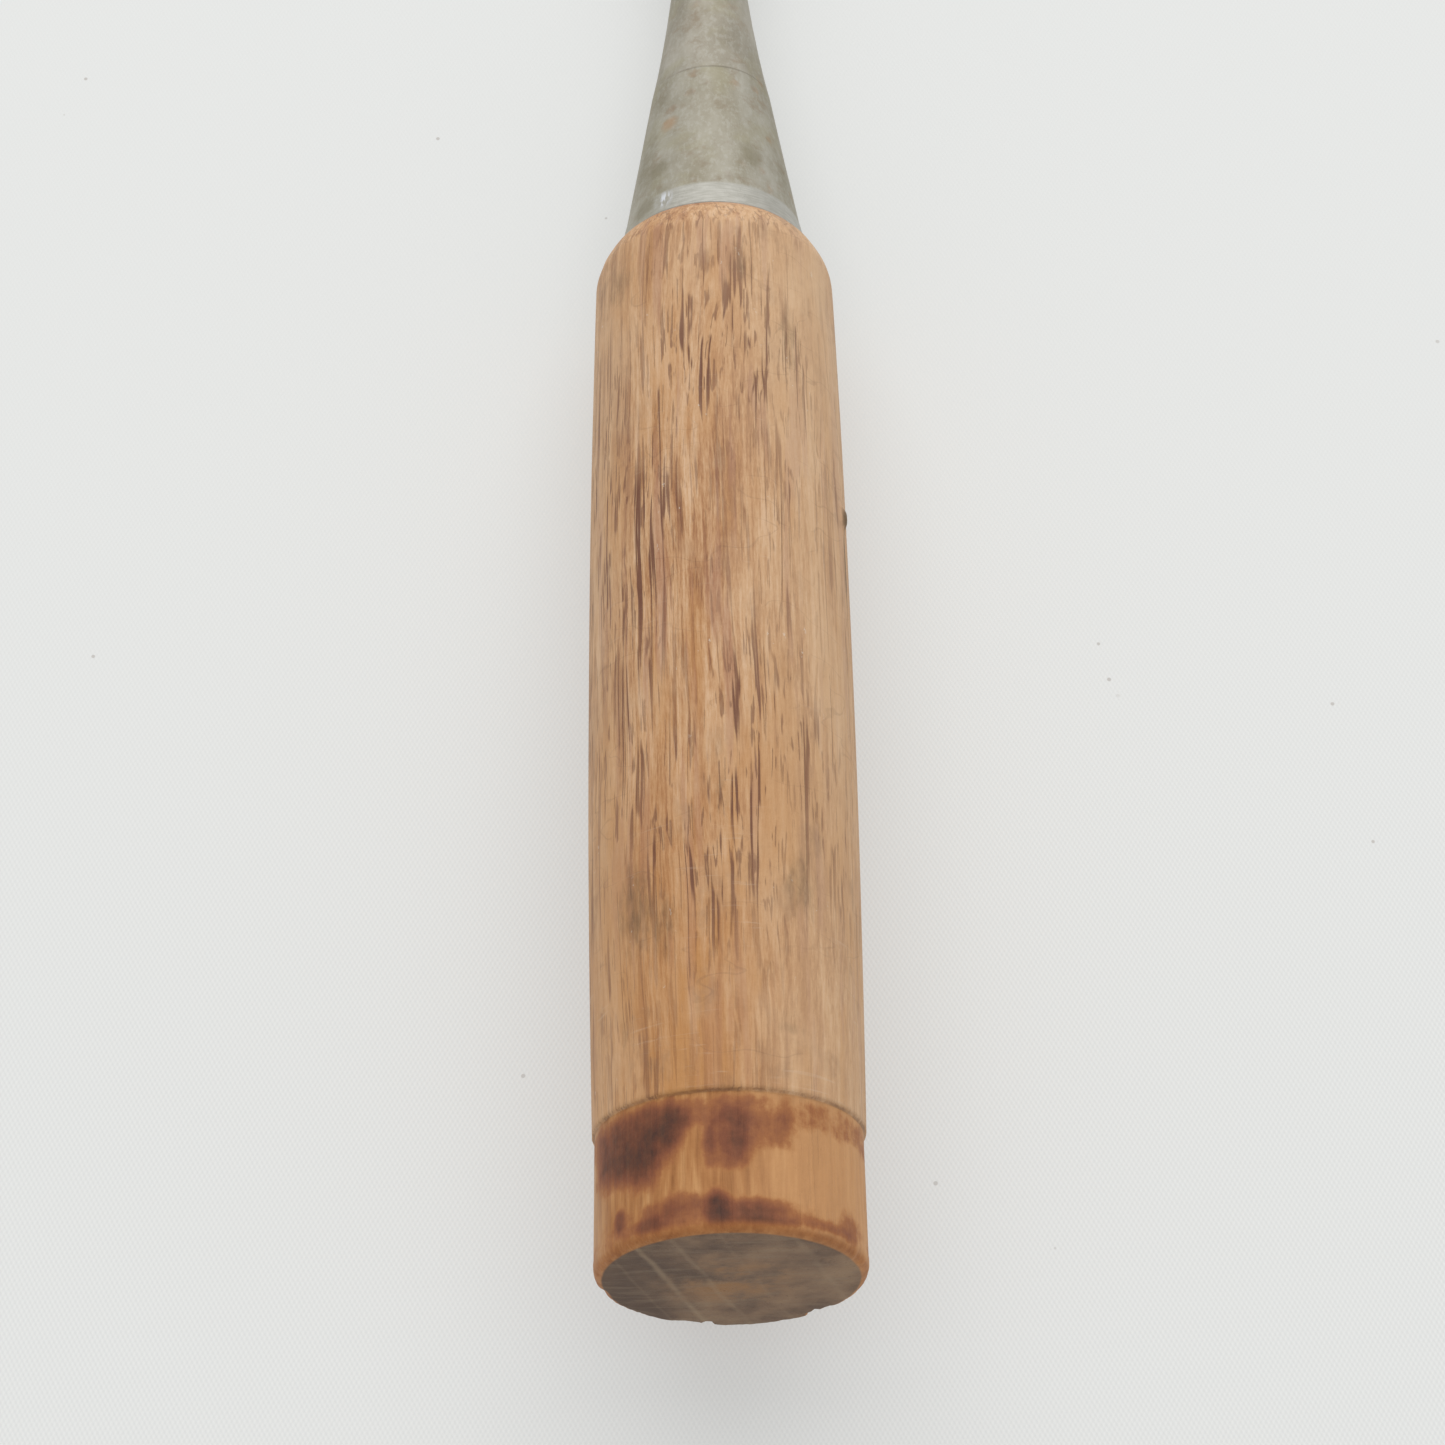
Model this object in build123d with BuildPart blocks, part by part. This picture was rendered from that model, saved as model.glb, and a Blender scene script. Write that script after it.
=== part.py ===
"""A struck bench gouge: turned oak handle, conical steel ferrule, and a tanged blade of iron with a
hard-steel lining in its hollow.

The tool's axis is the Y axis. The butt of the handle is at y = 0, the cutting edge is at the far end
towards +Y, +Z is up, and the hollow of the blade faces down. Lengths are in millimetres.
"""
from build123d import *
import os
from math import cos, radians, sin, sqrt, tan

# ---- Handle -----------------------------------------------------------------------------------
BELLY_RADIUS = 15.0          # the widest place of the barrelled grip
BELLY_Y = 75.0               # where that is
REAR_RADIUS = 14.25          # just ahead of the hoop seat
FRONT_RADIUS = 14.56         # just behind the front shoulder
SHOULDER_Y = 124.0           # where the rounding of the front shoulder starts
SHOULDER_MIDDLE = (13.35, 127.4)  # radius and y half-way round the shoulder
MOUTH_Y = 129.2              # where the wood meets the ferrule
BUTT_TILT = 3.0              # degrees that the butt is cut off square
BUTT_SPARE = 2.0             # wood turned past the butt, then sawn off at that tilt
BUTT_EDGE = 1.1              # worn rounding of the butt's edge
SEAT_RADIUS = 13.95          # bare cylindrical seat that a striking hoop is driven on to
SEAT_END = 15.1              # how far up from the butt the seat runs
SEAT_STEP = 0.30             # bevel at the step between seat and grip
REAR_LEAN = (0.012, 1)       # direction of the grip's outline at its two ends
FRONT_LEAN = (-0.02, 1)
SHOULDER_LEAN = (-1, 0.55)   # direction of the shoulder's outline where it meets the ferrule

# ---- Ferrule ----------------------------------------------------------------------------------
MOUTH_RADIUS = 11.82         # outside, at the wood
BAND_END = 133.3             # front of the polished band round the mouth
BAND_RADIUS = 11.02          # outside, at the front of that band
FERRULE_END = 154.7          # the small end, where the blade's shoulder bears
FERRULE_END_RADIUS = 7.65
MOUTH_WALL = 1.35
END_WALL = 1.3
TENON_GAP = 0.8              # the wooden tenon stops this short of the blade's shoulder

# ---- Tang and neck ----------------------------------------------------------------------------
TANG_ROOT = 6.6              # side of the square tang at the shoulder
TANG_TIP = 3.6               # side at its end
TANG_LENGTH = 56.0
TANG_HOLE_SPARE = 1.0        # the burnt-in hole is this much deeper than the tang
NECK_RADIUS = 4.05           # the round neck at its thinnest
FLARE_MIDDLE = (5.85, 166.0)  # radius and y on the concave flare of the blade's shoulder
FLARE_FRONT = (4.48, 179.0)
FLARE_LEAN = (-0.2, 1)       # direction of the flare's outline at the shoulder
NECK_Y = 190.0               # from here the neck tapers away inside the root of the blade
NECK_END_Y = 203.0
NECK_END_RADIUS = 2.4

# ---- Blade ------------------------------------------------------------------------------------
SPREAD_Y = 190.0             # the blade starts to spread out of the neck here
SPREAD_HALF_WIDTH = 2.9
SPREAD_BOTTOM_Z = -2.6
SPREAD_LEAN = (0.15, 1)      # direction of the blade's outline where it leaves the neck
WAIST_FORWARD = 1.0          # how far past half-way the outline turns back from its flare
ROOT_Y = 208.0               # from here the blade has its full width
TIP_Y = 264.0                # the cutting edge
ROOT_HALF_WIDTH = 11.6
TIP_HALF_WIDTH = 12.1
SWEEP_RADIUS = 13.5          # outside radius of the curved section
CROWN_Z = 3.5                # height of the outside's crown over the tool's axis
CORNER_Z = -5.2              # height of the two long edges of the hollow
HOLLOW_RADIUS = 10.5
HOLLOW_START = 213.0         # centre of the hollow's round end
HOLLOW_RISE = 1.3            # the hollow deepens by this much from its start to the edge
STEEL_THICKNESS = 1.1        # hard steel forge-welded inside the hollow
BEVEL_ANGLE = 27.0           # degrees, ground on the outside
EDGE_LAND = 0.12             # thickness left at the very edge
OVERCUT = 5.0                # how far cutting shapes run past what they cut

os.makedirs("parts", exist_ok=True)

# ---- Tang: a square taper that the handle is bored for and the blade carries ---------------------
tang_tip_y = FERRULE_END - TANG_LENGTH

with BuildPart() as tang:
    with BuildSketch(Plane.XZ.offset(-tang_tip_y)):
        Rectangle(TANG_TIP, TANG_TIP)
    with BuildSketch(Plane.XZ.offset(-FERRULE_END)):
        Rectangle(TANG_ROOT, TANG_ROOT)
    loft()

# ---- Handle: oak, turned, with a tenon that fills the ferrule and a square hole for the tang ----
mouth_inner = MOUTH_RADIUS - MOUTH_WALL
end_inner = FERRULE_END_RADIUS - END_WALL
tenon_end_y = FERRULE_END - TENON_GAP
tenon_slope = (mouth_inner - end_inner) / (FERRULE_END - MOUTH_Y)
tenon_end_radius = end_inner + tenon_slope * TENON_GAP

with BuildPart() as handle:
    with BuildSketch(Plane.XY):
        with BuildLine():
            Polyline((0, -BUTT_SPARE), (SEAT_RADIUS, -BUTT_SPARE), (SEAT_RADIUS, SEAT_END),
                     (REAR_RADIUS, SEAT_END + SEAT_STEP))
            Spline((REAR_RADIUS, SEAT_END + SEAT_STEP), (BELLY_RADIUS, BELLY_Y),
                   (FRONT_RADIUS, SHOULDER_Y), tangents=(REAR_LEAN, FRONT_LEAN))
            Spline((FRONT_RADIUS, SHOULDER_Y), SHOULDER_MIDDLE, (MOUTH_RADIUS, MOUTH_Y),
                   tangents=(FRONT_LEAN, SHOULDER_LEAN))
            Polyline((MOUTH_RADIUS, MOUTH_Y), (mouth_inner, MOUTH_Y),
                     (tenon_end_radius, tenon_end_y), (0, tenon_end_y), (0, -BUTT_SPARE))
        make_face()
    revolve(axis=Axis.Y)
    add(tang.part, mode=Mode.SUBTRACT)
    with BuildSketch(Plane.XZ.offset(-tang_tip_y)):
        Rectangle(TANG_TIP, TANG_TIP)
    extrude(amount=TANG_HOLE_SPARE, mode=Mode.SUBTRACT)
    butt_plane = Plane(origin=(0, 0, 0), x_dir=(1, 0, 0),
                       z_dir=(0, cos(radians(BUTT_TILT)), -sin(radians(BUTT_TILT))))
    split(bisect_by=butt_plane, keep=Keep.TOP)
    fillet(handle.faces().sort_by(Axis.Y)[0].edges(), radius=BUTT_EDGE)
handle.part.label = "handle"
export_step(handle.part, "parts/handle.step")

# ---- Ferrule: a cone of steel, polished in a band round its mouth --------------------------------
with BuildPart() as ferrule:
    with BuildSketch(Plane.XY):
        with BuildLine():
            Polyline((mouth_inner, MOUTH_Y), (MOUTH_RADIUS, MOUTH_Y), (BAND_RADIUS, BAND_END),
                     (FERRULE_END_RADIUS, FERRULE_END), (end_inner, FERRULE_END), close=True)
        make_face()
    revolve(axis=Axis.Y)
ferrule.part.label = "ferrule"
export_step(ferrule.part, "parts/ferrule.step")

# ---- Blade and its steel, forged as one and then told apart ----------------------------------------
hollow_centre_z = CROWN_Z - SWEEP_RADIUS
hollow_slope = HOLLOW_RISE / (TIP_Y - HOLLOW_START)
hollow_direction = (0, 1, hollow_slope)
hollow_plane = Plane(origin=(0, HOLLOW_START, hollow_centre_z - HOLLOW_RISE), x_dir=(1, 0, 0),
                     z_dir=hollow_direction)
hollow_length = TIP_Y - HOLLOW_START + OVERCUT
side_top_z = hollow_centre_z + sqrt(SWEEP_RADIUS ** 2 - TIP_HALF_WIDTH ** 2)
waist = ((SPREAD_HALF_WIDTH + ROOT_HALF_WIDTH) / 2, (SPREAD_Y + ROOT_Y) / 2 + WAIST_FORWARD)
edge_axis = Axis((0, TIP_Y, hollow_centre_z), hollow_direction)
edge_plane = Plane(origin=(0, TIP_Y, hollow_centre_z), x_dir=(1, 0, 0), z_dir=(0, -hollow_slope, 1))
edge_radius = HOLLOW_RADIUS + EDGE_LAND
bevel_height = SWEEP_RADIUS + OVERCUT - edge_radius
bevel_length = bevel_height / tan(radians(BEVEL_ANGLE))

with BuildPart() as trough:
    with BuildSketch(Plane.XZ.offset(-SPREAD_Y)):
        with BuildLine():
            RadiusArc((-TIP_HALF_WIDTH, side_top_z), (TIP_HALF_WIDTH, side_top_z), SWEEP_RADIUS)
            Polyline((TIP_HALF_WIDTH, side_top_z), (TIP_HALF_WIDTH, CORNER_Z),
                     (-TIP_HALF_WIDTH, CORNER_Z), (-TIP_HALF_WIDTH, side_top_z))
        make_face()
    extrude(amount=-(TIP_Y - SPREAD_Y))
    with BuildSketch(Plane.XY.offset(CORNER_Z - OVERCUT)):
        with BuildLine():
            Line((0, SPREAD_Y), (SPREAD_HALF_WIDTH, SPREAD_Y))
            TangentArc((SPREAD_HALF_WIDTH, SPREAD_Y), waist, tangent=SPREAD_LEAN)
            TangentArc((ROOT_HALF_WIDTH, ROOT_Y), waist, tangent=(0, -1))
            Polyline((ROOT_HALF_WIDTH, ROOT_Y), (TIP_HALF_WIDTH, TIP_Y), (0, TIP_Y))
            mirror(about=Plane.YZ)
        make_face()
    extrude(amount=SWEEP_RADIUS + 2 * OVERCUT, mode=Mode.INTERSECT)
    with BuildSketch(Plane.YZ.offset(-TIP_HALF_WIDTH - OVERCUT)):
        with BuildLine():
            Polyline((SPREAD_Y, SPREAD_BOTTOM_Z), (SPREAD_Y, SWEEP_RADIUS), (TIP_Y, SWEEP_RADIUS),
                     (TIP_Y, CORNER_Z), (ROOT_Y, CORNER_Z))
            TangentArc((ROOT_Y, CORNER_Z), (SPREAD_Y, SPREAD_BOTTOM_Z), tangent=(-1, 0))
        make_face()
    extrude(amount=2 * (TIP_HALF_WIDTH + OVERCUT), mode=Mode.INTERSECT)

with BuildPart() as blank:
    with BuildSketch(Plane.XY):
        with BuildLine():
            Line((0, FERRULE_END), (FERRULE_END_RADIUS, FERRULE_END))
            Spline((FERRULE_END_RADIUS, FERRULE_END), FLARE_MIDDLE, FLARE_FRONT,
                   (NECK_RADIUS, NECK_Y), tangents=(FLARE_LEAN, (0, 1)))
            Polyline((NECK_RADIUS, NECK_Y), (NECK_END_RADIUS, NECK_END_Y), (0, NECK_END_Y),
                     (0, FERRULE_END))
        make_face()
    revolve(axis=Axis.Y)
    add(tang.part)
    add(trough.part)
    with BuildSketch(hollow_plane):
        Circle(HOLLOW_RADIUS)
    extrude(amount=hollow_length, mode=Mode.SUBTRACT)
    with Locations(hollow_plane.location):
        Sphere(HOLLOW_RADIUS, mode=Mode.SUBTRACT)
    with BuildSketch(edge_plane):
        with BuildLine():
            Polyline((edge_radius, 0), (edge_radius + bevel_height, -bevel_length),
                     (edge_radius + bevel_height, OVERCUT), (edge_radius, OVERCUT), close=True)
        make_face()
    revolve(axis=edge_axis, mode=Mode.SUBTRACT)

with BuildPart() as cutting_steel:
    add(blank.part)
    with BuildSketch(hollow_plane):
        Circle(HOLLOW_RADIUS + STEEL_THICKNESS)
    extrude(amount=hollow_length, mode=Mode.INTERSECT)
cutting_steel.part.label = "cutting_steel"
export_step(cutting_steel.part, "parts/cutting_steel.step")

with BuildPart() as blade:
    add(blank.part)
    with BuildSketch(hollow_plane):
        Circle(HOLLOW_RADIUS + STEEL_THICKNESS)
    extrude(amount=hollow_length, mode=Mode.SUBTRACT)
blade.part.label = "blade"
export_step(blade.part, "parts/blade.step")
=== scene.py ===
from math import atan2, cos, degrees, exp, pi, radians, sin, tan

import bpy
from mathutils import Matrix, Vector, noise


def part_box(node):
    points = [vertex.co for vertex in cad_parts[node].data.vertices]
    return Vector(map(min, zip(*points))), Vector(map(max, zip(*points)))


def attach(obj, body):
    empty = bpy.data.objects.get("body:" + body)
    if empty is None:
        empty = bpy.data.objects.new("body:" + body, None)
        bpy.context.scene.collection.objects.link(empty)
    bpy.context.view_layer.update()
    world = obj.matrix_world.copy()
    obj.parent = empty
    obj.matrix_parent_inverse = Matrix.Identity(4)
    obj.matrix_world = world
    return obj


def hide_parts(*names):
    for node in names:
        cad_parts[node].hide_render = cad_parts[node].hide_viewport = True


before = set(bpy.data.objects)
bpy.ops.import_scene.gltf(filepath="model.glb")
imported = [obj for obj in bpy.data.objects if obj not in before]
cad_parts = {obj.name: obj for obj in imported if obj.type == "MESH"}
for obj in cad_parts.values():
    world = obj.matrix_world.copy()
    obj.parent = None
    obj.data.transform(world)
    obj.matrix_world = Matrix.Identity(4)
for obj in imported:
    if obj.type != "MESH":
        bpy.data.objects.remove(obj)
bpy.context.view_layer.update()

MM = 0.001

# ---- Sizes, in millimetres along the tool's axis Y, or as radii round it ----------------------
SEAT_RADIUS = 13.95
HOOP_REAR = 2.2              # the lost hoop left dark rings here
HOOP_FRONT = 13.2            # and here
SEAT_END = 15.1
STEP_END = 15.4
REAR_RADIUS = 14.25
BELLY_RADIUS = 15.0
BELLY_Y = 75.0
FRONT_RADIUS = 14.55
SHOULDER_Y = 124.2
SHOULDER_POWER = 1.45        # between a straight bevel, 1, and a quarter circle, 2
MOUTH_Y = 129.2
MOUTH_RADIUS = 11.82
BAND_RADIUS = 11.02
BAND_END = 133.3
FERRULE_END = 154.7
FERRULE_END_RADIUS = 7.65
FERRULE_WALL = 1.3
NECK_MIDDLE = 165.0          # from here the steel grows brighter,
BLADE_START = 200.0          # up to here
BEVEL_START = 240.0
BUTT_EDGE = 1.1              # radius of the rounded edge between the butt and the seat
BUTT_TILT = radians(3.0)     # the butt is cut this far off square
TILT_END = 6.0               # the slant of the butt has died out this far along the handle
STUB = 4.0                   # the detailed handle reaches this far into the ferrule
SKIN = 0.05                  # the detailed surfaces stay this far inside the plain ones
HANDLE_SIDES = 224
FERRULE_SIDES = 160

# ---- Wear of the butt's edge, in mm -------------------------------------------------------------
WEAR_INWARD = 2.4            # it reaches this far in from the seat's surface
WEAR_FORWARD = 3.0           # and this far along it
CHIPPED_INWARD = 1.5         # the outermost part of it is also pushed forward

# ---- View, light and floor, in metres unless a comment says otherwise ---------------------------
LENS = 67.3                  # mm
SENSOR = 36.0                # mm
CAMERA_PLACE = (0.0001, -0.0824, 0.2653)
CAMERA_TURN = (28.95, 0.49, -0.88)       # degrees
WINDOW_PLACE = (0.03, 1.20, 1.42)
WINDOW_AIM = (0.0, 0.10, 0.0)
WINDOW_SIZE = 2.2
WINDOW_POWER = 24.5          # watts
ROOM_COLOUR = (0.98, 0.985, 0.98)
ROOM_STRENGTH = 0.58
FLOOR_SIZE = 6.0
FLOOR_GAP = 0.00005          # the floor lies this far below the blade
FLOOR_GLOW_COLOUR = (0.98, 0.99, 0.98)
FLOOR_GLOW = 0.355           # keeps the shadows pale
HEEL_BACK = 3.0              # mm: the blade touches the floor this far behind its tip,
REST_FROM, REST_TO = 60, 129             # mm: and the handle somewhere between these places
WARP_PITCH = 0.00055         # from thread to thread of the canvas
WEFT_PITCH = 0.00098

# ---- Marks. Each is (angle from the top towards +X in degrees, distance from the butt in mm,
# ---- half angle, half length, strength) ---------------------------------------------------------
IRON_STAINS = (
    (-58, 10.5, 17, 3.3, 0.80), (-38, 10.0, 14, 3.9, 0.92), (-24, 12.0, 8, 2.4, 0.82),
    (-41, 11.3, 3.2, 2.4, 0.30), (-27, 11.9, 3.0, 2.0, 0.32),
    (-8, 9.7, 3.2, 2.5, 0.62), (3, 10.6, 9.0, 3.1, 0.70), (4, 10.2, 3.4, 1.7, 0.45),
    (-1, 7.7, 7.0, 0.8, 0.45), (20, 11.0, 9, 2.0, 0.44), (-5, 3.0, 5.0, 2.0, 0.88),
    (-5, 2.1, 5.2, 1.5, 0.80), (15, 1.3, 12, 0.5, 0.5),
    (-52, 3.3, 3.6, 1.5, 0.72), (-35, 1.8, 9, 0.9, 0.74), (12, 2.4, 13, 1.4, 0.60),
    (-22, 3.2, 13, 1.9, 0.46), (42, 1.8, 16, 0.7, 0.46), (58, 3.0, 9, 1.9, 0.34),
    (118, 9.0, 26, 4.5, 0.9), (165, 12.2, 30, 2.4, 0.75), (-140, 8.0, 22, 5.0, 0.95),
    (150, 2.4, 50, 1.4, 0.65), (-120, 2.0, 34, 1.2, 0.55))
DENTS = (
    (18, 27.0, 3.0, 1.6, 0.22), (27, 22.5, 4.0, 0.9, 0.14), (-48, 23.0, 2.5, 1.3, 0.16),
    (-36, 79.0, 2.0, 2.6, 0.16), (34, 62.0, 3.0, 1.2, 0.14), (-12, 104.0, 2.6, 1.5, 0.14),
    (44, 46.0, 2.0, 3.0, 0.15), (-60, 55.0, 3.0, 2.0, 0.16), (2, 90.0, 1.6, 1.8, 0.12),
    (52, 95.0, 3.5, 1.4, 0.16), (-20, 43.0, 2.2, 1.0, 0.12), (105, 60.0, 4.0, 3.0, 0.2),
    (-110, 88.0, 4.0, 2.4, 0.2), (160, 40.0, 5.0, 2.2, 0.2), (-150, 112.0, 3.5, 1.8, 0.18))
SPLINTER = (74, 88.6, 2.6, 1.35, -0.56)  # a sliver that stands proud near the right-hand edge
DIRT = ((*SPLINTER[:4], 1.0), (75, 82.5, 1.1, 5.0, 0.9), (-40, 36.0, 9, 6.0, 0.42),
        (-25, 33.0, 6, 4.0, 0.35), (33, 38.0, 8, 3.5, 0.38), (40, 44.0, 6, 3.0, 0.25),
        (28, 22.0, 9, 0.7, 0.3), (0, 48.0, 4, 8.0, 0.22), (-47, 22.6, 3, 2.0, 0.3),
        (-52, 119.0, 9, 3.0, 0.35), (12, 118.0, 8, 3.0, 0.3), (36, 108.0, 6, 5.0, 0.35),
        (120, 70.0, 14, 12.0, 0.3), (-120, 50.0, 16, 10.0, 0.3), (170, 95.0, 14, 10.0, 0.3))
ORANGE_RUST = ((-36, 145.5, 8, 1.3, 0.8), (22, 151.7, 6, 1.3, 0.35), (120, 140.0, 14, 2.0, 0.7),
               (-150, 148.0, 12, 2.0, 0.6))
OLIVE_RUST = ((-40, 137.9, 9, 1.6, 0.75), (29, 139.1, 9, 2.2, 0.8), (-48, 131.9, 9, 1.6, 1.0),
              (-55, 141.0, 12, 7.0, 0.55), (60, 139.0, 14, 7.0, 0.45), (-8, 150.5, 7, 2.0, 0.4),
              (150, 136.0, 20, 2.5, 0.7), (-110, 144.0, 18, 4.0, 0.6))
GLINT = (-31.5, 131.6, 4.5, 1.1, 1.0)    # a painted reflection: a bright bluish glint in short streaks on the band round the ferrule's mouth
# Chips broken out of the butt's edge: (angle, half angle, depth)
CHIPS = ((140, 3.2, 0.65), (133, 6.0, 0.22), (-169, 2.6, 0.35), (-160, 7.0, 0.2), (70, 4.0, 0.15),
         (-105, 5.0, 0.18))
# Medullary rays on the butt: (distance from the axis, half width, strength), in mm
RAYS = ((-6.0, 0.62, 0.9), (-2.0, 0.5, 0.5), (-9.2, 0.3, 0.2), (2.6, 0.4, 0.2), (9.6, 0.6, 0.4))
RAY_ANGLE = radians(17.5)    # the rays lean this far from upright
PITH_DEPTH = 58.0            # how far below the tool's axis the heart of the tree lay


# ---- Node helpers -------------------------------------------------------------------------------
class Shader:
    """A material's node tree, with short calls for the nodes that the materials here use."""

    def __init__(self, name):
        self.material = bpy.data.materials.new(name)
        self.material.use_nodes = True
        self.tree = self.material.node_tree
        self.surface = self.tree.nodes["Principled BSDF"]
        coordinates = self.tree.nodes.new("ShaderNodeTexCoord")
        self.position = coordinates.outputs["Object"]
        self.facing = coordinates.outputs["Normal"]

    def put(self, socket, value):
        """Feed a socket from another node, or set it to a plain value."""
        if isinstance(value, bpy.types.NodeSocket):
            self.tree.links.new(value, socket)
        else:
            socket.default_value = value

    def math(self, operation, a, b=0.0):
        node = self.tree.nodes.new("ShaderNodeMath")
        node.operation = operation
        self.put(node.inputs[0], a)
        self.put(node.inputs[1], b)
        return node.outputs[0]

    def add(self, a, b):
        return self.math("ADD", a, b)

    def minus(self, a, b):
        return self.math("SUBTRACT", a, b)

    def times(self, a, b):
        return self.math("MULTIPLY", a, b)

    def larger(self, a, b):
        return self.math("MAXIMUM", a, b)

    def size_of(self, value):
        return self.math("ABSOLUTE", value)

    def length(self, a, b):
        """The length of the vector (a, b)."""
        return self.math("SQRT", self.add(self.times(a, a), self.times(b, b)))

    def vector(self, operation, a, b):
        node = self.tree.nodes.new("ShaderNodeVectorMath")
        node.operation = operation
        self.put(node.inputs[0], a)
        self.put(node.inputs[1], b)
        return node.outputs[0]

    def scaled(self, vector, x, y, z):
        return self.vector("MULTIPLY", vector, (x, y, z))

    def millimetres(self):
        """The place on the surface, in mm."""
        return self.scaled(self.position, 1 / MM, 1 / MM, 1 / MM)

    def joined(self, x, y, z):
        node = self.tree.nodes.new("ShaderNodeCombineXYZ")
        for socket, value in zip(node.inputs, (x, y, z)):
            self.put(socket, value)
        return node.outputs[0]

    def parts(self, vector):
        """The three parts of a vector."""
        node = self.tree.nodes.new("ShaderNodeSeparateXYZ")
        self.put(node.inputs[0], vector)
        return node.outputs

    def noise(self, vector, scale, detail=2.0, rough=0.5, distortion=0.0):
        """Cloudy noise, 0 to 1 and mostly near its mean, 0.5."""
        node = self.tree.nodes.new("ShaderNodeTexNoise")
        self.put(node.inputs["Vector"], vector)
        node.inputs["Scale"].default_value = scale
        node.inputs["Detail"].default_value = detail
        node.inputs["Roughness"].default_value = rough
        node.inputs["Distortion"].default_value = distortion
        return node.outputs[0]

    def shake(self, vector, scale, reach):
        """Three noises at once, centred on nought, to move another pattern about."""
        node = self.tree.nodes.new("ShaderNodeTexNoise")
        self.put(node.inputs["Vector"], vector)
        node.inputs["Scale"].default_value = scale
        centred = self.vector("SUBTRACT", node.outputs["Color"], (0.5, 0.5, 0.5))
        return self.scaled(centred, reach, reach, reach)

    def cells(self, vector, scale):
        """Distance to the nearest of a set of scattered points."""
        node = self.tree.nodes.new("ShaderNodeTexVoronoi")
        self.put(node.inputs["Vector"], vector)
        node.inputs["Scale"].default_value = scale
        return node.outputs["Distance"]

    def step(self, value, low, high):
        """0 at low, 1 at high and smooth between; low may be the larger."""
        node = self.tree.nodes.new("ShaderNodeMapRange")
        node.interpolation_type = "SMOOTHSTEP"
        self.put(node.inputs["Value"], value)
        if low > high:
            low, high = high, low
            node.inputs["To Min"].default_value = 1.0
            node.inputs["To Max"].default_value = 0.0
        node.inputs["From Min"].default_value = low
        node.inputs["From Max"].default_value = high
        return node.outputs[0]

    def lines(self, pattern, half_width):
        """1 along the thin lines where a noise crosses its mean."""
        return self.step(self.size_of(self.add(pattern, -0.5)), half_width, half_width * 0.3)

    def mix(self, share, a, b):
        """Colour a with this share of colour b over it."""
        node = self.tree.nodes.new("ShaderNodeMix")
        node.data_type = "RGBA"
        self.put(node.inputs["Factor"], share)
        self.put(node.inputs["A"], opaque(a))
        self.put(node.inputs["B"], opaque(b))
        return node.outputs["Result"]

    def ramp(self, value, *stops):
        """A colour looked up among (place, colour) stops, which are in rising order."""
        node = self.tree.nodes.new("ShaderNodeValToRGB")
        self.put(node.inputs[0], value)
        elements = node.color_ramp.elements
        for place, _ in stops[2:]:
            elements.new(place)
        for element, (place, colour) in zip(elements, stops):
            element.position = place
            element.color = opaque(colour)
        return node.outputs[0]

    def attribute(self, name):
        """A value stored on the mesh's vertices."""
        node = self.tree.nodes.new("ShaderNodeAttribute")
        node.attribute_name = name
        return node.outputs["Fac"]

    def bump(self, height, distance, strength=1.0, below=None):
        """A normal from a height, laid over the bump below it if there is one."""
        node = self.tree.nodes.new("ShaderNodeBump")
        node.inputs["Strength"].default_value = strength
        node.inputs["Distance"].default_value = distance
        self.put(node.inputs["Height"], height)
        if below is not None:
            self.put(node.inputs["Normal"], below)
        return node.outputs[0]

    def finish(self, colour, roughness, normal, metallic=0.0, specular=0.5):
        """Join everything to the surface and give the material."""
        self.put(self.surface.inputs["Base Color"], colour)
        self.put(self.surface.inputs["Roughness"], roughness)
        self.put(self.surface.inputs["Normal"], normal)
        self.put(self.surface.inputs["Metallic"], metallic)
        self.surface.inputs["Specular IOR Level"].default_value = specular
        return self.material


def opaque(colour):
    """A colour with its alpha; a socket is left as it is."""
    return colour if isinstance(colour, bpy.types.NodeSocket) else (*colour[:3], 1.0)


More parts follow.
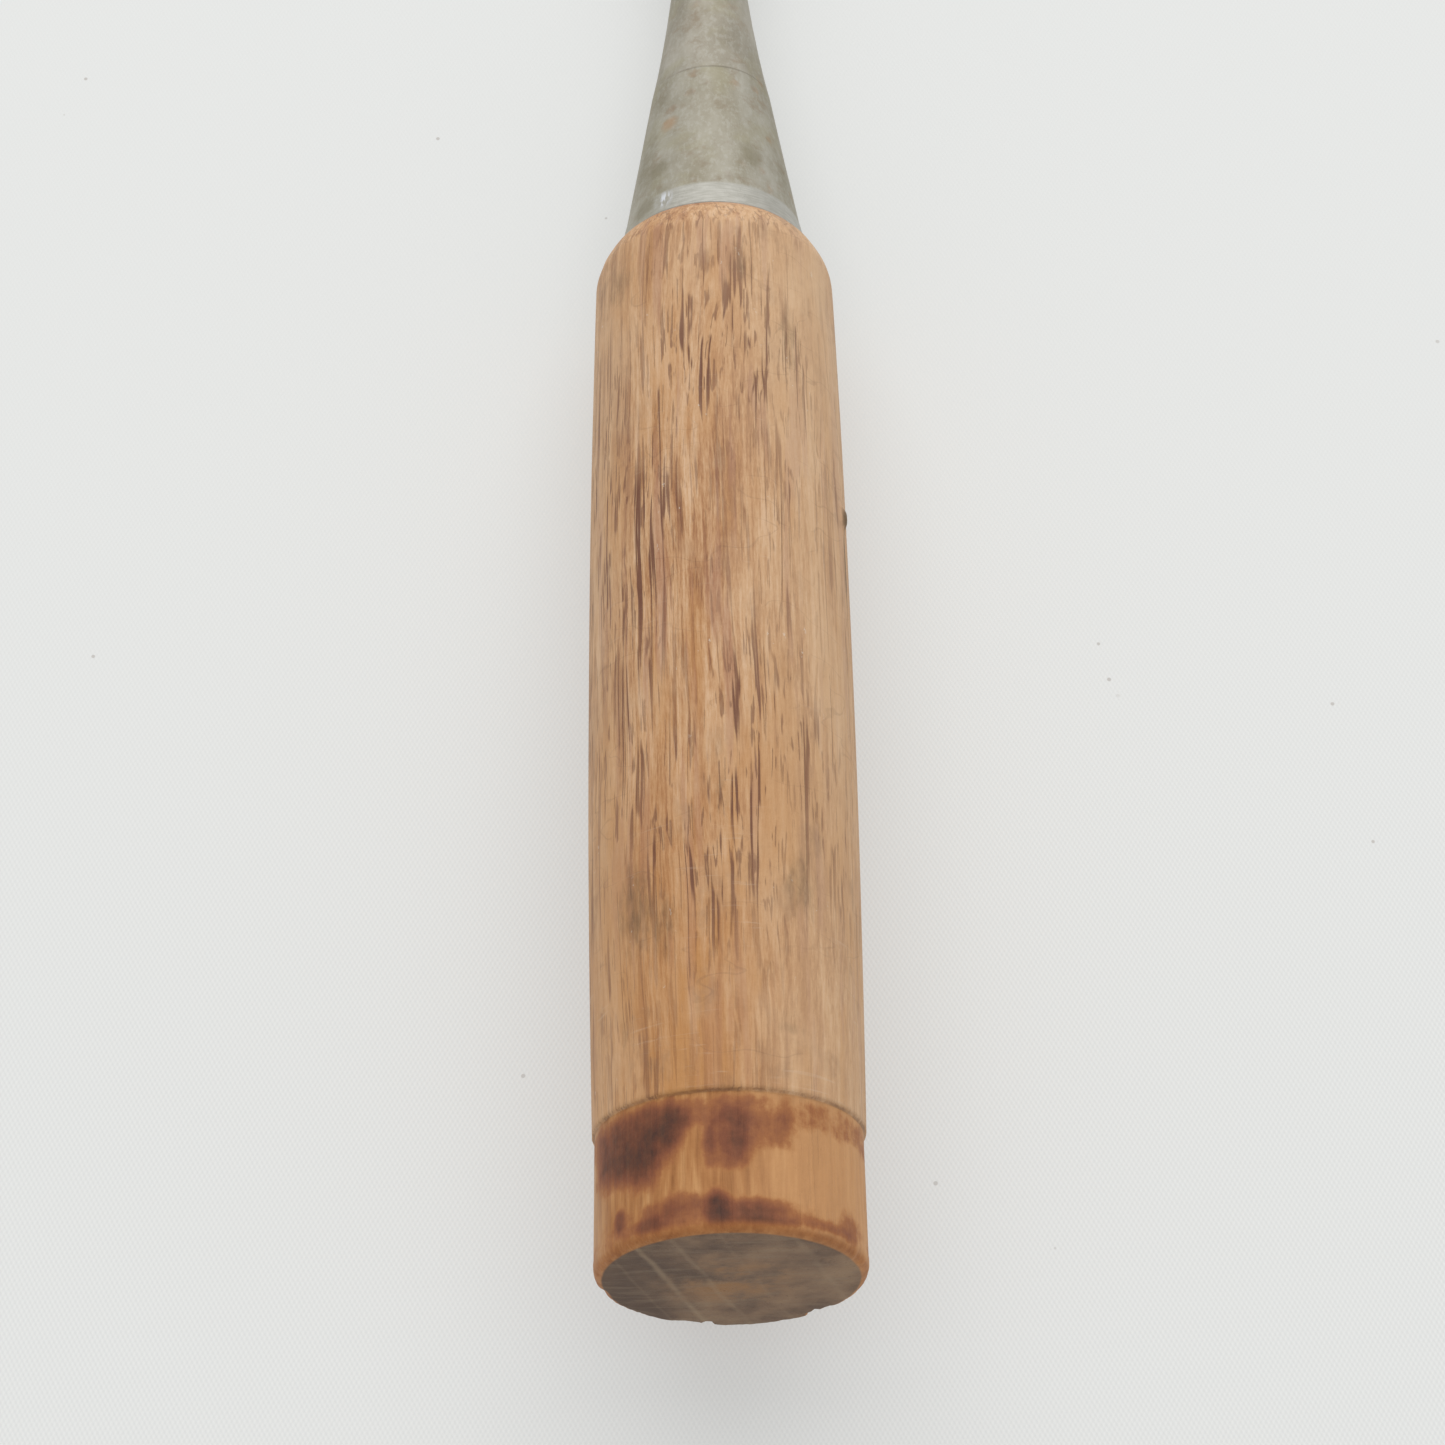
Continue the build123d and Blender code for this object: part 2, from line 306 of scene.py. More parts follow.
# ---- Wood: flat-sawn oak, dry and hand-worn. Lengths in its patterns are in mm --------------------
class Oak(Shader):
    """The wood's coordinates, and the patterns that several of its colours share."""

    def __init__(self):
        super().__init__("worn_oak")
        self.mm = self.millimetres()
        self.x, self.y, self.z = self.parts(self.mm)
        wander = self.noise(self.scaled(self.mm, 0.05, 0.016, 0.05), 1.0, 2.0)
        shift = self.times(self.add(wander, -0.5), 4.0)
        self.grain = self.vector("ADD", self.mm, self.joined(shift, 0.0, shift))
        self.wide = self.noise(self.stretched(5.0), 0.17, 3.0, 0.6)
        self.streak = self.noise(self.stretched(24.0), 0.95, 3.0, 0.6)
        self.fibre = self.noise(self.stretched(9.0), 6.0, 3.0, 0.7)
        self.pores = self.pore_lines()
        bare_streak = self.noise(self.stretched(12.0), 1.1, 3.0, 0.6)
        self.bare_tone = self.add(self.times(bare_streak, 0.6), self.times(self.wide, 0.4))

    def stretched(self, length, offset=0.0):
        """Coordinates in which a pattern comes out this many times longer along the grain."""
        moved = self.vector("ADD", self.grain, (offset, offset * length, offset))
        return self.scaled(moved, 1.0, 1.0 / length, 1.0)

    def pore_lines(self):
        """Thin dark broken lines along the grain, close together in drifts."""
        drift = self.step(self.noise(self.stretched(4.0, 5.0), 0.13, 2.0), 0.36, 0.58)
        long_lines = self.lines(self.noise(self.stretched(60.0), 0.95, 2.0), 0.056)
        long_gaps = self.step(self.noise(self.stretched(11.0, 9.0), 0.85, 2.0), 0.485, 0.555)
        short_lines = self.lines(self.noise(self.stretched(40.0, 13.0), 1.5, 2.0), 0.045)
        short_gaps = self.step(self.noise(self.stretched(5.0, 15.0), 1.15, 2.0), 0.50, 0.58)
        pores = self.larger(self.times(long_lines, long_gaps),
                            self.times(self.times(short_lines, short_gaps), 0.7))
        middle = self.times(self.step(self.y, 22.0, 42.0), self.step(self.y, 124.0, 104.0))
        share = self.times(self.add(self.times(drift, 0.6), 0.4), self.add(self.times(middle, 0.5), 0.5))
        return self.times(pores, self.times(share, self.step(self.x, 26.0, 0.0)))

    def early_wood(self):
        """The open-pored part of each growth ring, round a pith that lay below the tool."""
        gx, _, gz = self.parts(self.grain)
        from_pith = self.length(self.add(gx, PITH_DEPTH * sin(RAY_ANGLE)),
                                self.add(gz, PITH_DEPTH * cos(RAY_ANGLE)))
        uneven = self.noise(self.stretched(30.0), 0.12, 1.0)
        ring = self.math("FRACT", self.add(self.times(from_pith, 0.42), uneven))
        return self.step(ring, 0.55, 0.05)

    def rays(self):
        """Pale stripes across the end grain."""
        across = self.add(self.times(self.x, cos(RAY_ANGLE)), self.times(self.z, sin(RAY_ANGLE)))
        across = self.add(across, self.times(self.add(self.noise(self.mm, 0.12, 1.0), -0.5), 1.2))
        rays = 0.0
        for place, half_width, strength in RAYS:
            off = self.size_of(self.minus(across, place))
            rays = self.larger(self.times(self.step(off, half_width, 0.0), strength), rays)
        return self.times(rays, self.step(self.noise(self.mm, 0.25, 2.0), 0.25, 0.5))


def grip_colour(s):
    """Tan and brown streaks with orange, mauve and grey drifts among them, dark pores, and a painted
    sheen that pales the grip towards its sides.
    """
    narrow = s.noise(s.stretched(22.0, 7.0), 2.4, 2.0, 0.6)
    tone = s.add(s.add(s.times(s.wide, 0.9), s.times(s.streak, 1.0)), s.times(narrow, 0.85))
    tone = s.add(s.add(tone, s.times(s.fibre, 0.75)), -1.25)
    body = s.ramp(tone, (0.20, (0.34, 0.152, 0.068)), (0.38, (0.455, 0.228, 0.104)),
                  (0.50, (0.55, 0.308, 0.155)), (0.62, (0.615, 0.370, 0.200)),
                  (0.80, (0.70, 0.46, 0.285)))
    golden = s.step(s.noise(s.stretched(5.0, 3.0), 0.2, 3.0, 0.6), 0.47, 0.62)
    low = s.step(s.y, 75.0, 22.0)
    body = s.mix(s.times(golden, s.add(s.times(low, 0.4), 0.34)), body, (0.52, 0.245, 0.078))
    mauve = s.step(s.noise(s.stretched(18.0, 11.0), 0.7, 2.0), 0.56, 0.66)
    body = s.mix(s.times(mauve, 0.40), body, (0.36, 0.168, 0.120))
    warm = s.times(low, s.step(s.x, 14.0, -2.0))
    body = s.mix(s.times(warm, 0.52), body, (0.53, 0.250, 0.088))
    # painted sheen: the grip is made paler towards the right side and at the left edge, in patches, and
    # a little paler towards the front
    pale_patches = s.step(s.noise(s.scaled(s.mm, 0.12, 0.06, 0.12), 1.0, 4.0, 0.65), 0.48, 0.66)
    sides = s.add(s.times(s.step(s.x, -3.0, 12.0), 0.46), s.times(s.step(s.x, -7.0, -13.5), 0.30))
    pale = s.add(sides, s.times(s.step(s.y, 84.0, 110.0), 0.17))
    body = s.mix(s.add(pale, s.times(pale_patches, 0.2)), body, (0.70, 0.475, 0.29))
    smudge = s.step(s.noise(s.scaled(s.mm, 0.20, 0.12, 0.20), 1.0, 4.0, 0.65), 0.54, 0.70)
    handled = s.add(s.step(s.y, 104.0, 122.0), s.times(low, 0.9))
    body = s.mix(s.times(smudge, s.add(s.times(handled, 0.20), 0.14)), body, (0.28, 0.165, 0.10))
    return s.mix(s.times(s.pores, 0.88), body, (0.140, 0.050, 0.032))


def with_wear(s, wood):
    """Hairline scratches and rubs across the grain, pale specks, dirt, and a darker front lip."""
    hair = s.lines(s.noise(s.scaled(s.mm, 0.10, 0.24, 0.10), 1.0, 1.5, 0.5, 0.2), 0.009)
    hair = s.times(hair, s.step(s.noise(s.mm, 0.12, 2.0), 0.48, 0.60))
    wood = s.mix(s.times(hair, 0.16), wood, (0.17, 0.095, 0.06))
    across = s.noise(s.scaled(s.mm, 0.18, 2.6, 0.18), 1.0, 3.0, 0.6, 0.6)
    rub = s.times(s.step(across, 0.60, 0.74), s.step(s.noise(s.mm, 0.09, 1.0), 0.52, 0.64))
    wood = s.mix(s.times(rub, 0.22), wood, (0.70, 0.54, 0.40))
    torn_fibres = s.vector("ADD", s.scaled(s.mm, 1.0, 0.4, 1.0), s.shake(s.mm, 2.2, 0.9))
    specks = s.times(s.step(s.cells(torn_fibres, 0.75), 0.13, 0.04),
                     s.step(s.noise(s.stretched(3.0), 0.2, 1.0), 0.53, 0.62))
    wood = s.mix(s.times(specks, 0.5), wood, (0.78, 0.70, 0.60))
    ragged = s.add(s.noise(s.stretched(4.0), 1.3, 4.0, 0.65), -0.5)
    dirt = s.step(s.add(s.attribute("dirt"), s.times(ragged, 0.8)), 0.08, 0.85)
    wood = s.mix(s.times(dirt, 0.85), wood, (0.105, 0.072, 0.040))
    lip = s.step(s.add(s.y, ragged), MOUTH_Y - 1.6, MOUTH_Y - 0.4)
    return s.mix(s.times(lip, 0.5), wood, (0.40, 0.185, 0.105))


def with_seat(s, wood):
    """Bare orange wood under the lost hoop, its iron stains, and a faint line at the step."""
    bare = s.ramp(s.bare_tone, (0.38, (0.30, 0.120, 0.038)), (0.50, (0.44, 0.195, 0.068)),
                  (0.62, (0.58, 0.300, 0.120)))
    bare = s.mix(s.times(s.step(s.x, -2.0, 8.0), 0.65), bare, (0.64, 0.345, 0.158))
    bare = s.mix(s.times(s.step(s.x, -11.5, -14.0), 0.5), bare, (0.56, 0.36, 0.22))
    bare = s.mix(s.times(s.pores, 0.25), bare, (0.24, 0.11, 0.06))
    wood = s.mix(s.step(s.y, SEAT_END + 0.1, SEAT_END - 0.1), wood, bare)
    torn = s.add(s.noise(s.scaled(s.mm, 0.8, 0.22, 0.8), 1.0, 3.0, 0.55), -0.5)
    soft = s.add(s.noise(s.mm, 0.55, 4.0, 0.65), -0.5)
    stain = s.add(s.attribute("stain"), s.add(s.times(torn, 0.44), s.times(soft, 0.62)))
    stain_colour = s.ramp(stain, (0.18, (0.46, 0.200, 0.068)), (0.40, (0.345, 0.128, 0.048)),
                          (0.64, (0.215, 0.068, 0.035)), (0.86, (0.110, 0.036, 0.024)),
                          (1.0, (0.050, 0.022, 0.022)))
    stained = s.times(s.step(stain, 0.10, 0.42), s.step(s.y, SEAT_END + 0.2, SEAT_END - 0.1))
    wood = s.mix(s.times(stained, 0.9), wood, stain_colour)
    step_y = s.add(s.times(s.noise(s.mm, 0.8, 2.0), 0.3), SEAT_END - 0.1)
    line = s.step(s.size_of(s.minus(s.y, step_y)), 0.22, 0.05)
    line = s.times(line, s.step(s.noise(s.mm, 0.3, 2.0), 0.36, 0.56))
    return s.mix(s.times(line, 0.42), wood, (0.14, 0.062, 0.035))


def end_grain(s, open_pores, rays):
    """The butt: grey blotches, darker to the left and browner at the centre, with rays and pores."""
    blotch = s.noise(s.mm, 0.15, 4.0, 0.6)
    end = s.ramp(blotch, (0.34, (0.170, 0.112, 0.080)), (0.5, (0.255, 0.165, 0.108)),
                 (0.66, (0.335, 0.222, 0.140)))
    left = s.step(s.add(s.x, s.times(s.add(blotch, -0.5), 14.0)), 2.0, -11.0)
    end = s.mix(s.times(left, 0.7), end, (0.108, 0.074, 0.058))
    centre = s.step(s.length(s.x, s.z), 9.0, 1.0)
    end = s.mix(s.times(centre, s.step(blotch, 0.42, 0.6)), end, (0.34, 0.185, 0.090))
    layer = s.step(s.noise(s.scaled(s.mm, 0.16, 1.0, 1.3), 1.0, 3.0, 0.6), 0.48, 0.66)
    end = s.mix(s.times(layer, 0.30), end, (0.30, 0.225, 0.155))
    end = s.mix(s.times(open_pores, 0.35), end, (0.095, 0.070, 0.052))
    return s.mix(s.times(rays, 0.62), end, (0.38, 0.275, 0.18))


def wood_material():
    """The handle's wood, from four vertex values: stain, dirt, butt and edge."""
    s = Oak()
    wood = with_seat(s, with_wear(s, grip_colour(s)))
    rubbed_edge = s.ramp(s.bare_tone, (0.36, (0.31, 0.105, 0.032)), (0.64, (0.50, 0.205, 0.068)))
    wood = s.mix(s.times(s.attribute("edge"), 0.8), wood, rubbed_edge)
    butt = s.attribute("butt")
    rays = s.rays()
    open_pores = s.times(s.step(s.cells(s.mm, 1.9), 0.30, 0.12),
                         s.add(s.times(s.early_wood(), 0.45), 0.2))
    colour = s.mix(butt, wood, end_grain(s, open_pores, rays))
    relief = s.minus(s.times(s.fibre, 0.6), s.times(s.pores, 0.9))
    relief = s.minus(relief, s.times(s.times(open_pores, butt), 0.8))
    relief = s.add(relief, s.times(s.times(rays, butt), 0.5))
    normal = s.bump(relief, 0.00009, 0.8)
    normal = s.bump(s.noise(s.mm, 0.35, 4.0, 0.6), 0.00035, 0.5, below=normal)
    roughness = s.add(s.add(s.times(s.streak, 0.18), 0.50), s.times(butt, 0.2))
    return s.finish(colour, roughness, normal, specular=0.22)


# ---- Metals -------------------------------------------------------------------------------------
def aged_steel(name, dark, light, rust_share):
    """Dull steel with brown bloom and rust. Vertex values add rust, a polished band and a painted glint.
    """
    s = Shader(name)
    mm = s.millimetres()
    y = s.parts(mm)[1]
    cloud = s.noise(s.scaled(mm, 1.0, 0.5, 1.0), 0.22, 4.0, 0.6)
    colour = s.ramp(cloud, (0.32, dark), (0.68, light))
    fine = s.noise(s.scaled(mm, 1.0, 0.6, 1.0), 1.6, 3.0, 0.7)
    colour = s.mix(s.times(s.step(fine, 0.46, 0.66), 0.25), colour, (0.55, 0.54, 0.49))

    # tarnish: an olive cast, brown bloom and scattered spots of rust
    olive = s.step(s.noise(mm, 0.17, 4.0, 0.6), 0.48, 0.66)
    colour = s.mix(s.times(olive, 0.30), colour, (0.33, 0.30, 0.17))
    moved = s.vector("ADD", mm, (9.0, 4.0, 2.0))
    bloom = s.step(s.noise(moved, 0.30, 5.0, 0.7), 0.52, 0.72)
    colour = s.mix(s.times(bloom, 0.55 * rust_share), colour, (0.27, 0.20, 0.125))
    shaken = s.vector("ADD", mm, s.shake(mm, 0.9, 1.6))
    spots = s.times(s.step(s.cells(shaken, 0.30), 0.34, 0.05),
                    s.step(s.noise(moved, 0.13, 2.0), 0.48, 0.62))
    rust_tone = s.ramp(s.noise(mm, 1.3, 3.0), (0.35, (0.20, 0.125, 0.075)),
                       (0.65, (0.38, 0.23, 0.11)))
    colour = s.mix(s.times(spots, 0.45 * rust_share), colour, rust_tone)

    # bright steel: the band round the ferrule's mouth and the ground bevel at the blade's tip
    faces_tip = s.step(s.parts(s.facing)[1], 0.34, 0.42)
    ground = s.times(faces_tip, s.step(y, BEVEL_START - 2.0, BEVEL_START + 2.0))
    polished = s.larger(s.attribute("band"), ground)
    satin = s.noise(s.scaled(mm, 0.6, 4.0, 0.6), 1.0, 2.0)
    bright = s.ramp(satin, (0.35, (0.38, 0.37, 0.33)), (0.65, (0.48, 0.47, 0.43)))
    colour = s.mix(s.times(polished, 0.85), colour, bright)

    # single marks: rust, painted shade at the seam where the ferrule meets the blade's shoulder, and the
    # painted glint
    broken = s.times(s.add(s.noise(mm, 0.9, 4.0, 0.65), -0.5), 0.9)
    for mark, tone in (("olive_rust", (0.20, 0.17, 0.095)), ("orange_rust", (0.42, 0.235, 0.10))):
        share = s.step(s.add(s.attribute(mark), broken), 0.1, 0.9)
        colour = s.mix(s.times(share, 0.55), colour, tone)
    # painted shade: a faint dark line where the ferrule meets the blade's shoulder, which lie flush
    painted_seam_shade = s.step(s.size_of(s.add(y, -FERRULE_END)), 0.26, 0.06)
    painted_seam_shade = s.times(painted_seam_shade, s.step(s.noise(mm, 0.35, 2.0), 0.30, 0.55))
    colour = s.mix(s.times(painted_seam_shade, 0.45), colour, (0.17, 0.145, 0.10))
    # painted reflection: the glint's bluish white is laid into the colour in these short streaks
    scratches = s.step(s.noise(s.scaled(mm, 3.0, 0.5, 3.0), 1.0, 1.0), 0.42, 0.6)
    glint = s.times(s.attribute("glint"), scratches)
    colour = s.mix(s.times(glint, 0.8), colour, (0.80, 0.83, 0.90))

    # pits, file marks and gloss; the blade is brighter than the ferrule
    tarnish = s.larger(s.times(bloom, 0.5), spots)
    file_marks = s.noise(s.scaled(mm, 1.2, 0.16, 1.2), 3.0, 3.0, 0.6)
    pits = s.noise(mm, 1.4, 5.0, 0.7)
    normal = s.bump(s.add(pits, s.times(spots, 0.4)), 0.00012, 0.55)
    normal = s.bump(file_marks, 0.00006, 0.4, below=normal)
    blade = s.step(y, NECK_MIDDLE, BLADE_START)
    roughness = s.add(s.add(s.times(cloud, 0.2), 0.50), s.times(tarnish, 0.2))
    roughness = s.minus(roughness, s.times(polished, 0.14))
    roughness = s.minus(roughness, s.times(blade, 0.10))
    metallic = s.minus(s.add(s.times(blade, 0.36), 0.46), s.times(tarnish, 0.4))
    return s.finish(colour, roughness, normal, metallic, specular=0.5)


# ---- Shapes -------------------------------------------------------------------------------------
def turned_faces(rows, sides):
    """Faces for a point, rows - 2 rings of points and a last point: two fans and bands of quads."""
    last = 1 + (rows - 2) * sides
    faces = []
    for i in range(sides):
        j = (i + 1) % sides
        faces.append((0, 1 + i, 1 + j))
        faces.append((last, last - sides + j, last - sides + i))
    for low in range(1, last - sides, sides):
        high = low + sides
        for i in range(sides):
            j = (i + 1) % sides
            faces.append((low + i, high + i, high + j, low + j))
    return faces


def turned_piece(name, rows, sides, place, marks):
    """A closed surface of revolution about Y. rows are (radius, y) pairs in mm from one end of the
    axis to the other, place(angle, radius, y) gives each point, and marks names vertex values."""
    angles = [2 * pi * i / sides - pi for i in range(sides)]
    where = [(0.0, *rows[0])]
    where += [(angle, radius, y) for radius, y in rows[1:-1] for angle in angles]
    where.append((0.0, *rows[-1]))
    mesh = bpy.data.meshes.new(name)
    points = [Vector(place(*w)) * MM for w in where]
    mesh.from_pydata(points, [], turned_faces(len(rows), sides))
    for mark, value in marks.items():
        layer = mesh.attributes.new(mark, "FLOAT", "POINT")
        layer.data.foreach_set("value", [value(*w) for w in where])
    mesh.polygons.foreach_set("use_smooth", [True] * len(mesh.polygons))
    mesh.update()
    piece = bpy.data.objects.new(name, mesh)
    bpy.context.scene.collection.objects.link(piece)
    return piece


def spread(low, high, count):
    """count places from low to just short of high."""
    return [low + (high - low) * i / count for i in range(count)]


def barrel(y, end_y, end_radius, power):
    """The grip's radius between its belly and one of its ends."""
    return BELLY_RADIUS - (BELLY_RADIUS - end_radius) * ((y - BELLY_Y) / (end_y - BELLY_Y)) ** power


def handle_radius(y):
    """The turned outline of the handle at y, in mm, ahead of the butt's rounded edge."""
    if y <= SEAT_END:
        return SEAT_RADIUS
    if y <= STEP_END:
        return SEAT_RADIUS + (REAR_RADIUS - SEAT_RADIUS) * (y - SEAT_END) / (STEP_END - SEAT_END)
    if y <= BELLY_Y:
        return barrel(y, STEP_END, REAR_RADIUS, 1.9)
    if y <= SHOULDER_Y:
        return barrel(y, SHOULDER_Y, FRONT_RADIUS, 2)
    share = min((y - SHOULDER_Y) / (MOUTH_Y - SHOULDER_Y), 1.0)
    drop = (1 - share ** SHOULDER_POWER) ** (1 / SHOULDER_POWER)
    return MOUTH_RADIUS + (FRONT_RADIUS - MOUTH_RADIUS) * drop


def turn_between(a, b):
    """The smaller turn between two angles, in degrees."""
    return (a - b + 180.0) % 360.0 - 180.0


def mark_at(angle, y, mark):
    """How strongly a mark (angle, distance, half angle, half length, strength) shows at a place."""
    across = turn_between(degrees(angle), mark[0]) / mark[2]
    along = (y - mark[1]) / mark[3]
    return mark[4] * exp(-((across * across + along * along) ** 1.5) * 0.8)


def marked(angle, y, marks):
    """How strongly some marks, laid over one another, show at a place: 0 to 1."""
    clear = 1.0
    for mark in marks:
        clear *= 1.0 - min(mark_at(angle, y, mark), 1.0)
    return 1.0 - clear


def value_of(marks):
    """Those marks as a vertex value."""
    return lambda angle, radius, y: marked(angle, y, marks)


def edge_wear(angle, y):
    """How far the butt's edge is worn or chipped away at a place, in mm."""
    around = Vector((sin(angle), cos(angle), 0.0))
    chips = sum(depth * exp(-(turn_between(degrees(angle), at) / half) ** 4)
                for at, half, depth in CHIPS)
    rough = 0.10 * (0.5 + 0.5 * noise.noise(around * 9.0)) + 0.05 * (1 + noise.noise(around * 31.0))
    return (chips + rough) * exp(-((y - 0.4) / 0.9) ** 2)


def uneven(place, across, along):
    """Noise from -1 to 1 with its own scales across the wood and along it."""
    return noise.noise(Vector((place.x * across, place.y * along, place.z * across)))


def handle_point(angle, radius, y):
    """A point of the handle, with the slanted butt, its chips, dents and the wood's unevenness."""
    if radius > SEAT_RADIUS - WEAR_INWARD and y < WEAR_FORWARD:
        wear = edge_wear(angle, y)
        radius -= wear * 0.9
        if radius > SEAT_RADIUS - CHIPPED_INWARD:
            y += wear * 0.7
    here = Vector((sin(angle) * BELLY_RADIUS, y, cos(angle) * BELLY_RADIUS))
    if SEAT_END - 0.5 < y < MOUTH_Y:
        dents = sum(mark_at(angle, y, dent) for dent in (*DENTS, SPLINTER))
        shoulder = exp(-((y - SHOULDER_Y - 2.0) / 2.6) ** 2)
        facets = abs(shoulder * 0.12 * noise.noise(here * 0.35))
        soft = 0.05 * uneven(here, 0.07, 0.03)
        fibres = 0.022 * uneven(here, 0.9, 0.05)
        radius -= SKIN + soft + fibres + dents + facets
    elif 2.0 < y <= SEAT_END - 0.5:
        radius -= SKIN + 0.02 * uneven(here, 0.8, 0.06)
    x = radius * sin(angle)
    z = radius * cos(angle)
    fade = max(0.0, 1.0 - max(y, 0.0) / TILT_END)
    return x, y + z * tan(BUTT_TILT) * fade, z


def seat_stain(angle, radius, y):
    """The iron stains, and two translucent rings where the hoop's edges were."""
    if y > SEAT_END + 0.2 or radius < SEAT_RADIUS - BUTT_EDGE:
        return 0.0
    ring = 0.34 * exp(-((y - HOOP_FRONT) / 1.7) ** 4)
    left = exp(-(turn_between(degrees(angle), -15.0) / 48.0) ** 4)
    rim = (0.14 + 0.22 * left) * exp(-((y - HOOP_REAR) / 1.9) ** 4)
    return 1.0 - (1.0 - marked(angle, y, IRON_STAINS)) * (1.0 - ring) * (1.0 - rim)


def on_butt(angle, radius, y):
    """1 on the end grain."""
    return 1.0 if y < 0.12 and radius < SEAT_RADIUS - BUTT_EDGE + 0.4 else 0.0


def on_edge(angle, radius, y):
    """How rubbed the wood is round the butt's edge."""
    if y > 0.02:
        return exp(-((y - 0.4) / 0.55) ** 2)
    return 0.3 * (radius > SEAT_RADIUS - BUTT_EDGE - 0.2)


def make_handle():
    """The handle, from the middle of its butt to a stub that stays hidden in the ferrule."""
    inner_flat = SEAT_RADIUS - BUTT_EDGE

    # rings across the butt, round its edge, and along the seat, its step, the grip and the shoulder
    rows = [(0.0, 0.0)]
    rows += [(r, 0.0) for r in spread(0.8, inner_flat, 14)]
    for i in range(9):
        turn = pi / 2 * i / 8
        rows.append((inner_flat + BUTT_EDGE * sin(turn), BUTT_EDGE * (1 - cos(turn))))
    ys = spread(BUTT_EDGE + 0.3, SEAT_END, 44) + spread(SEAT_END, STEP_END, 3)
    ys += spread(STEP_END, SHOULDER_Y, 300) + spread(SHOULDER_Y, MOUTH_Y, 26) + [MOUTH_Y]
    rows += [(handle_radius(y), y) for y in ys]
    stub_radius = MOUTH_RADIUS - FERRULE_WALL - 0.2
    rows += [(stub_radius, MOUTH_Y + 0.05), (stub_radius, MOUTH_Y + STUB), (0.0, MOUTH_Y + STUB)]
    piece = turned_piece("oak_handle", rows, HANDLE_SIDES, handle_point,
                         {"stain": seat_stain, "butt": on_butt, "edge": on_edge,
                          "dirt": value_of(DIRT)})
    piece.data.materials.append(wood_material())
    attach(piece, "root")
    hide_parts("handle")


def ferrule_point(angle, radius, y):
    """A point of the ferrule, very slightly uneven from the hammer but flush with the blade."""
    here = Vector((sin(angle) * radius, y, cos(angle) * radius))
    flush = min((FERRULE_END - y) / 4.0, 1.0)
    radius -= flush * (0.03 + 0.03 * noise.noise(here * 0.18) + 0.008 * noise.noise(here * 0.9))
    return radius * sin(angle), y, radius * cos(angle)


def on_band(angle, radius, y):
    """The polished band round the ferrule's mouth, worn duller towards the left of the top."""
    share = 1.0 if y < BAND_END - 0.3 else 0.0
    turn = degrees(angle)
    left = min(max((-turn - 22.0) / 30.0, 0.0), 1.0) if turn > -120.0 else 0.3
    return share * (1.0 - 0.75 * left)


def make_ferrule():
    """The ferrule's cone and chamfered mouth, and the start of its inside."""
    chamfer = 0.25
    inner = MOUTH_RADIUS - FERRULE_WALL - 0.1
    hidden_end = MOUTH_Y + STUB + 0.2
    band_slope = (MOUTH_RADIUS - BAND_RADIUS) / (BAND_END - MOUTH_Y)
    slope = (BAND_RADIUS - FERRULE_END_RADIUS) / (FERRULE_END - BAND_END)
    rows = [(0.0, hidden_end), (inner, hidden_end), (inner, MOUTH_Y),
            (MOUTH_RADIUS - chamfer, MOUTH_Y), (MOUTH_RADIUS, MOUTH_Y + chamfer)]
    for y in spread(MOUTH_Y + 0.5, BAND_END - 0.2, 12):
        rows.append((MOUTH_RADIUS - band_slope * (y - MOUTH_Y), y))
    for y in spread(BAND_END, FERRULE_END, 80) + [FERRULE_END]:
        inset = SKIN * (FERRULE_END - y) / (FERRULE_END - BAND_END)
        rows.append((BAND_RADIUS - inset - slope * (y - BAND_END), y))
    rows.append((0.0, FERRULE_END))
    piece = turned_piece("steel_ferrule", rows, FERRULE_SIDES, ferrule_point,
                         {"band": on_band, "olive_rust": value_of(OLIVE_RUST),
                          "orange_rust": value_of(ORANGE_RUST), "glint": value_of((GLINT,))})
    piece.data.materials.append(
        aged_steel("dull_ferrule_steel", (0.285, 0.255, 0.185), (0.425, 0.40, 0.335), 1.0))
    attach(piece, "root")
    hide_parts("ferrule")


# ---- The object ---------------------------------------------------------------------------------
make_handle()
make_ferrule()
for node, name, dark, light, rust in (
        ("blade", "forged_iron", (0.28, 0.25, 0.19), (0.44, 0.41, 0.345), 1.0),
        ("cutting_steel", "honed_steel", (0.50, 0.50, 0.49), (0.66, 0.67, 0.67), 0.35)):
    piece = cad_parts[node]
    piece.data.materials.clear()
    piece.data.materials.append(aged_steel(name, dark, light, rust))


